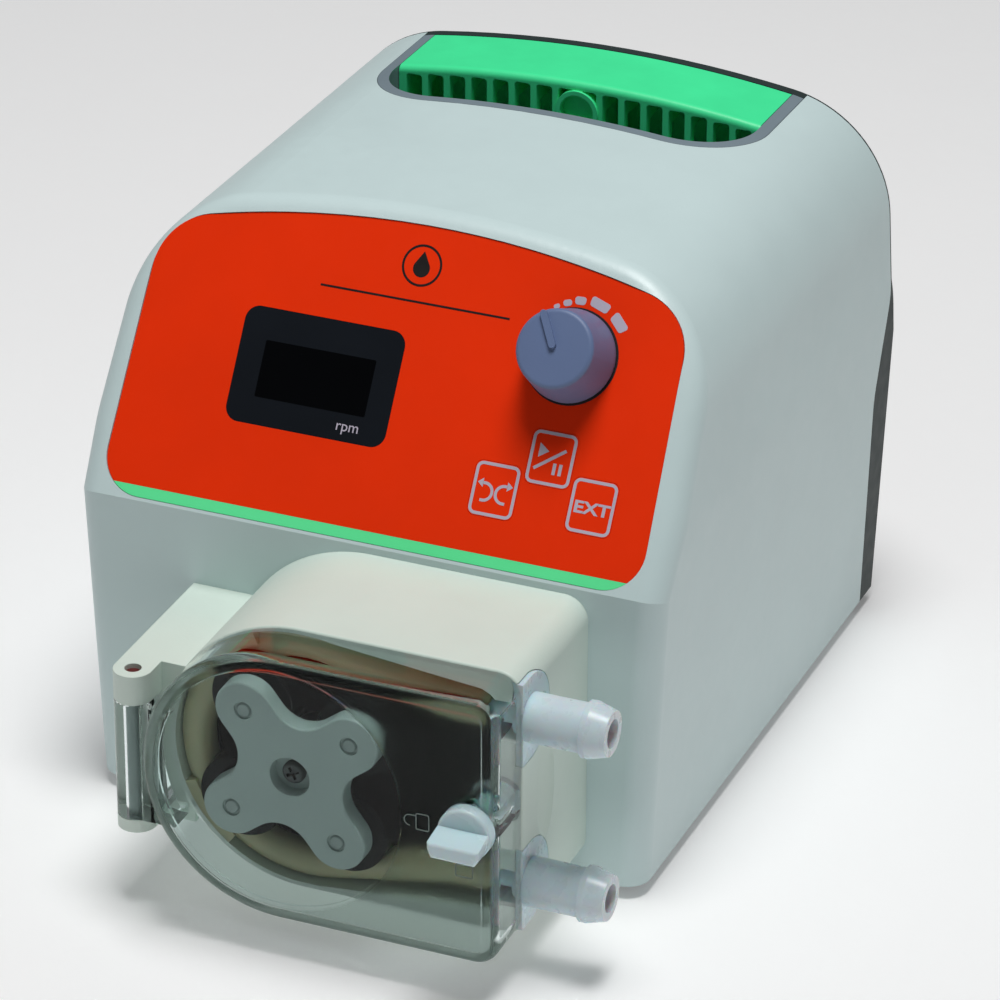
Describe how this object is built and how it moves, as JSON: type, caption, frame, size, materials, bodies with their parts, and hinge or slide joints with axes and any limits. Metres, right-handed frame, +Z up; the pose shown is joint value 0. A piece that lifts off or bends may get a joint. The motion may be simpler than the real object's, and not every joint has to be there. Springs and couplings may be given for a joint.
{
  "type": "peristaltic pump",
  "caption": "Bench-top peristaltic pump drive with a sloping control panel, speed knob and display, carrying handle, and a hinged clear-cover roller pump head with side hose barbs.",
  "frame": {"origin": "on the bench under the middle of the overall footprint", "axes": "+Z up, +Y from the pump head towards the rear, +X to the right of someone facing the panel"},
  "size_m": [0.1514, 0.2305, 0.1472],
  "materials": {
    "shell_white": "satin",
    "base_steel": "powder coat",
    "foot_rubber": "matte",
    "screw_steel": "zinc plated",
    "rear_grey": "fine texture",
    "inlet_black": "satin",
    "rocker_black": "gloss",
    "contact_brass": "plated",
    "connector_steel": "nickel plated",
    "trim_grey": "fine texture",
    "handle_green": "soft satin",
    "overlay_orange": "satin film",
    "strip_green": "satin film",
    "window_black": "gloss",
    "module_grey": "gloss",
    "board_green": "solder mask",
    "component_black": "matte",
    "knob_blue_grey": "fine texture",
    "shaft_steel": "ground",
    "lamination_steel": "matte",
    "cap_aluminium": "cast",
    "bearing_chrome": "polished",
    "head_cream": "fine texture",
    "port_white": "translucent",
    "tube_cream": "silky",
    "disc_black": "gloss",
    "plate_grey": "bead blasted",
    "roller_black": "gloss",
    "cover_clear": "clear moulded plastic",
    "latch_white": "satin"
  },
  "bodies": {
    "drive_unit": {"main_shell": "shell_white", "base_plate": "base_steel", "chamber_liner": "disc_black", "rubber_feet": "foot_rubber", "base_screws": "screw_steel", "rear_cover": "rear_grey", "rear_screws": "screw_steel", "power_inlet": "inlet_black", "inlet_pins": "contact_brass", "inlet_screws": "screw_steel", "switch_frame": "inlet_black", "external_connector": "connector_steel", "connector_pins": "contact_brass", "connector_jackscrews": "screw_steel", "recess_liner": "trim_grey", "carry_handle": "handle_green", "handle_screw": "screw_steel", "panel_overlay": "overlay_orange", "accent_strip": "strip_green", "display_window": "window_black", "display_module": "module_grey", "key_switches": "component_black", "control_board": "board_green", "board_screws": "screw_steel", "encoder_body": "component_black", "motor_stack": "lamination_steel", "motor_front_cap": "cap_aluminium", "motor_rear_cap": "cap_aluminium", "motor_bracket": "base_steel", "motor_screws": "screw_steel", "shaft_bearing": "bearing_chrome", "power_board": "board_green", "power_components": "component_black", "head_housing": "head_cream", "head_screws": "screw_steel", "upper_port": "port_white", "lower_port": "port_white", "pump_tube": "tube_cream", "hinge_pin": "shaft_steel"},
    "rotor": {"drive_shaft": "shaft_steel", "motor_magnet_rotor": "lamination_steel", "rotor_hub": "cap_aluminium", "rotor_back_disc": "disc_black", "rotor_front_plate": "plate_grey", "roller_axles": "shaft_steel", "rotor_screw": "screw_steel"},
    "roller_body_1": {"roller_1": "roller_black"},
    "roller_body_2": {"roller_2": "roller_black"},
    "roller_body_3": {"roller_3": "roller_black"},
    "roller_body_4": {"roller_4": "roller_black"},
    "cover": {"head_cover": "cover_clear"},
    "latch": {"latch_knob": "latch_white", "latch_cam": "latch_white", "latch_screw": "screw_steel"},
    "knob": {"speed_knob": "knob_blue_grey", "encoder_shaft": "shaft_steel"},
    "start_button": {"start_key": "overlay_orange"},
    "direction_button": {"direction_key": "overlay_orange"},
    "ext_button": {"ext_key": "overlay_orange"},
    "rocker": {"switch_rocker": "rocker_black"}
  },
  "joints": [
    {"name": "rotor_spin", "type": "hinge", "parent": "drive_unit", "child": "rotor", "pos_m": [0.0022, -0.085, 0.044], "axis": [0, -1, 0], "continuous": true, "deforming": ["pump_tube"]},
    {"name": "roller_1_spin", "type": "hinge", "parent": "rotor", "child": "roller_body_1", "pos_m": [0.01711, -0.086, 0.05545], "axis": [0, -1, 0], "continuous": true},
    {"name": "roller_2_spin", "type": "hinge", "parent": "rotor", "child": "roller_body_2", "pos_m": [-0.00924, -0.086, 0.05892], "axis": [0, -1, 0], "continuous": true},
    {"name": "roller_3_spin", "type": "hinge", "parent": "rotor", "child": "roller_body_3", "pos_m": [-0.01272, -0.086, 0.03256], "axis": [0, -1, 0], "continuous": true},
    {"name": "roller_4_spin", "type": "hinge", "parent": "rotor", "child": "roller_body_4", "pos_m": [0.01364, -0.086, 0.02908], "axis": [0, -1, 0], "continuous": true},
    {"name": "cover_hinge", "type": "hinge", "parent": "drive_unit", "child": "cover", "pos_m": [-0.039, -0.0933, 0.0385], "axis": [0, 0, -1], "range_deg": [0, 110]},
    {"name": "latch_turn", "type": "hinge", "parent": "cover", "child": "latch", "pos_m": [0.05, -0.102, 0.0457], "axis": [0, 1, 0], "range_deg": [0, 90]},
    {"name": "speed_knob_turn", "type": "hinge", "parent": "drive_unit", "child": "knob", "pos_m": [0.0405, -0.0226, 0.12459], "axis": [0, -0.8406, 0.5417], "continuous": true},
    {"name": "start_key_press", "type": "slide", "parent": "drive_unit", "child": "start_button", "axis": [0, 0.8406, -0.5417], "range_m": [0, 0.0004], "stiffness_N_per_m": 1500},
    {"name": "direction_key_press", "type": "slide", "parent": "drive_unit", "child": "direction_button", "axis": [0, 0.8406, -0.5417], "range_m": [0, 0.0004], "stiffness_N_per_m": 1500},
    {"name": "ext_key_press", "type": "slide", "parent": "drive_unit", "child": "ext_button", "axis": [0, 0.8406, -0.5417], "range_m": [0, 0.0004], "stiffness_N_per_m": 1500},
    {"name": "power_switch_rock", "type": "hinge", "parent": "drive_unit", "child": "rocker", "pos_m": [-0.038, 0.1065, 0.062], "axis": [0, 0, -1], "range_deg": [0, 24]}
  ],
  "couplings": [
    {"joint": "roller_1_spin", "follows": "rotor_spin", "ratio": -2.8077},
    {"joint": "roller_2_spin", "follows": "rotor_spin", "ratio": -2.8077},
    {"joint": "roller_3_spin", "follows": "rotor_spin", "ratio": -2.8077},
    {"joint": "roller_4_spin", "follows": "rotor_spin", "ratio": -2.8077}
  ]
}
